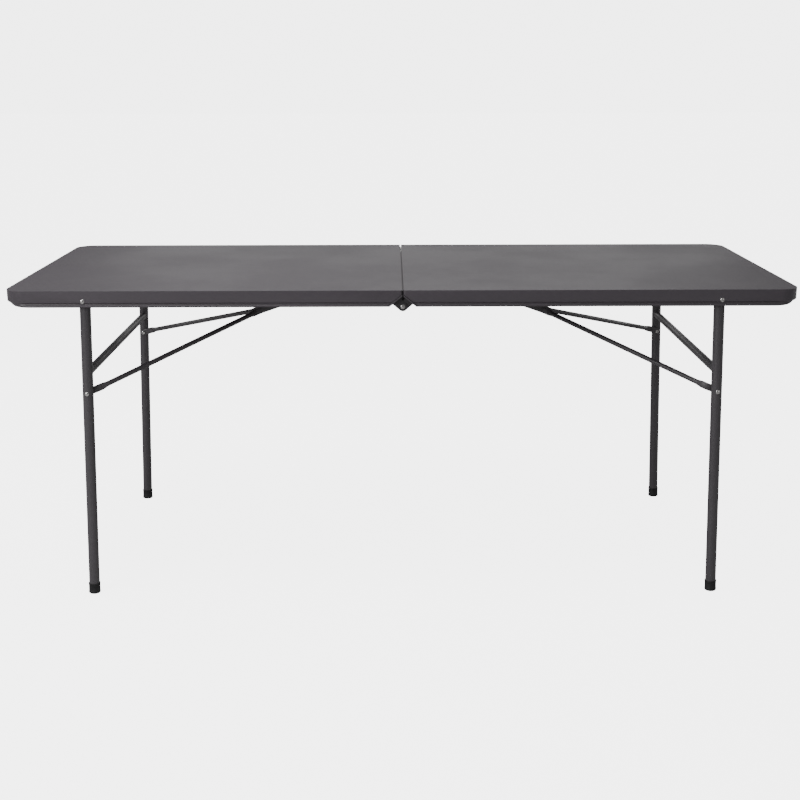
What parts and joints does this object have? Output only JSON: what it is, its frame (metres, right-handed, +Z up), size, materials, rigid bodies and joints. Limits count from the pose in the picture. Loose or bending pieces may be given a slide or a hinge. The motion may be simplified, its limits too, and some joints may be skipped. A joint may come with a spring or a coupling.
{
  "type": "folding table",
  "caption": "Fold-in-half plastic-topped table with a centre hinge and a folding steel-tube leg frame with a linked brace under each half.",
  "frame": {"origin": "on the floor, under the middle of the open table", "axes": "+X along the table's length towards its right half, +Y towards its back long side, +Z up out of the tabletop"},
  "size_m": [1.8, 0.7446, 0.74],
  "materials": {
    "top_plastic": "charcoal grey moulded plastic, satin",
    "frame_paint": "dark grey powder coat",
    "hinge_paint": "near-black powder coat",
    "bright_steel": "bright zinc-plated rivets and screws",
    "foot_plastic": "black plastic"
  },
  "bodies": {
    "top_left": {"top_left": "top_plastic", "side_rail_left_front": "hinge_paint", "side_rail_left_back": "hinge_paint", "hinge_pin_front": "bright_steel", "hinge_pin_back": "bright_steel", "rail_screw_left_front_1": "bright_steel", "rail_screw_left_front_2": "bright_steel", "rail_screw_left_back_1": "bright_steel", "rail_screw_left_back_2": "bright_steel", "leg_bolt_left_front": "bright_steel", "leg_bolt_left_back": "bright_steel", "brace_bracket_left": "hinge_paint", "bracket_screw_left_front": "bright_steel", "bracket_screw_left_back": "bright_steel", "link_pin_left": "bright_steel"},
    "top_right": {"top_right": "top_plastic", "side_rail_right_front": "hinge_paint", "side_rail_right_back": "hinge_paint", "rail_screw_right_front_1": "bright_steel", "rail_screw_right_front_2": "bright_steel", "rail_screw_right_back_1": "bright_steel", "rail_screw_right_back_2": "bright_steel", "leg_bolt_right_front": "bright_steel", "leg_bolt_right_back": "bright_steel", "brace_bracket_right": "hinge_paint", "bracket_screw_right_front": "bright_steel", "bracket_screw_right_back": "bright_steel", "link_pin_right": "bright_steel"},
    "legs_left": {"leg_left_front": "frame_paint", "leg_left_back": "frame_paint", "foot_left_front": "foot_plastic", "foot_left_back": "foot_plastic", "crossbar_left": "frame_paint", "brace_rivet_left_front": "bright_steel", "brace_rivet_left_back": "bright_steel"},
    "legs_right": {"leg_right_front": "frame_paint", "leg_right_back": "frame_paint", "foot_right_front": "foot_plastic", "foot_right_back": "foot_plastic", "crossbar_right": "frame_paint", "brace_rivet_right_front": "bright_steel", "brace_rivet_right_back": "bright_steel"},
    "brace_left": {"brace_arm_left_front": "frame_paint", "brace_arm_left_back": "frame_paint", "knuckle_rivet_left_front": "bright_steel", "knuckle_rivet_left_back": "bright_steel"},
    "brace_right": {"brace_arm_right_front": "frame_paint", "brace_arm_right_back": "frame_paint", "knuckle_rivet_right_front": "bright_steel", "knuckle_rivet_right_back": "bright_steel"},
    "link_left": {"brace_link_left": "frame_paint"},
    "link_right": {"brace_link_right": "frame_paint"}
  },
  "joints": [
    {"name": "top_fold", "type": "hinge", "parent": "top_left", "child": "top_right", "pos_m": [0, 0, 0.7013], "axis": [0, 1, 0], "range_deg": [0, 90]},
    {"name": "leg_fold_left", "type": "hinge", "parent": "top_left", "child": "legs_left", "pos_m": [-0.721, 0, 0.7165], "axis": [0, -1, 0], "range_deg": [0, 91.9]},
    {"name": "leg_fold_right", "type": "hinge", "parent": "top_right", "child": "legs_right", "pos_m": [0.721, 0, 0.7165], "axis": [0, 1, 0], "range_deg": [0, 91.9]},
    {"name": "brace_swing_left", "type": "hinge", "parent": "legs_left", "child": "brace_left", "pos_m": [-0.72827, 0, 0.4975], "axis": [0, 1, 0], "range_deg": [0, 112.25]},
    {"name": "brace_swing_right", "type": "hinge", "parent": "legs_right", "child": "brace_right", "pos_m": [0.72827, 0, 0.4975], "axis": [0, -1, 0], "range_deg": [0, 112.25]},
    {"name": "link_swing_left", "type": "hinge", "parent": "top_left", "child": "link_left", "pos_m": [-0.18908, 0, 0.7105], "axis": [0, -1, 0], "range_deg": [0, 149.5]},
    {"name": "link_swing_right", "type": "hinge", "parent": "top_right", "child": "link_right", "pos_m": [0.18908, 0, 0.7105], "axis": [0, 1, 0], "range_deg": [0, 149.5]}
  ],
  "couplings": [
    {"joint": "brace_swing_left", "follows": "leg_fold_left", "ratio": 1.2208},
    {"joint": "brace_swing_right", "follows": "leg_fold_right", "ratio": 1.2208},
    {"joint": "link_swing_left", "follows": "leg_fold_left", "ratio": 1.6263},
    {"joint": "link_swing_right", "follows": "leg_fold_right", "ratio": 1.6263}
  ]
}
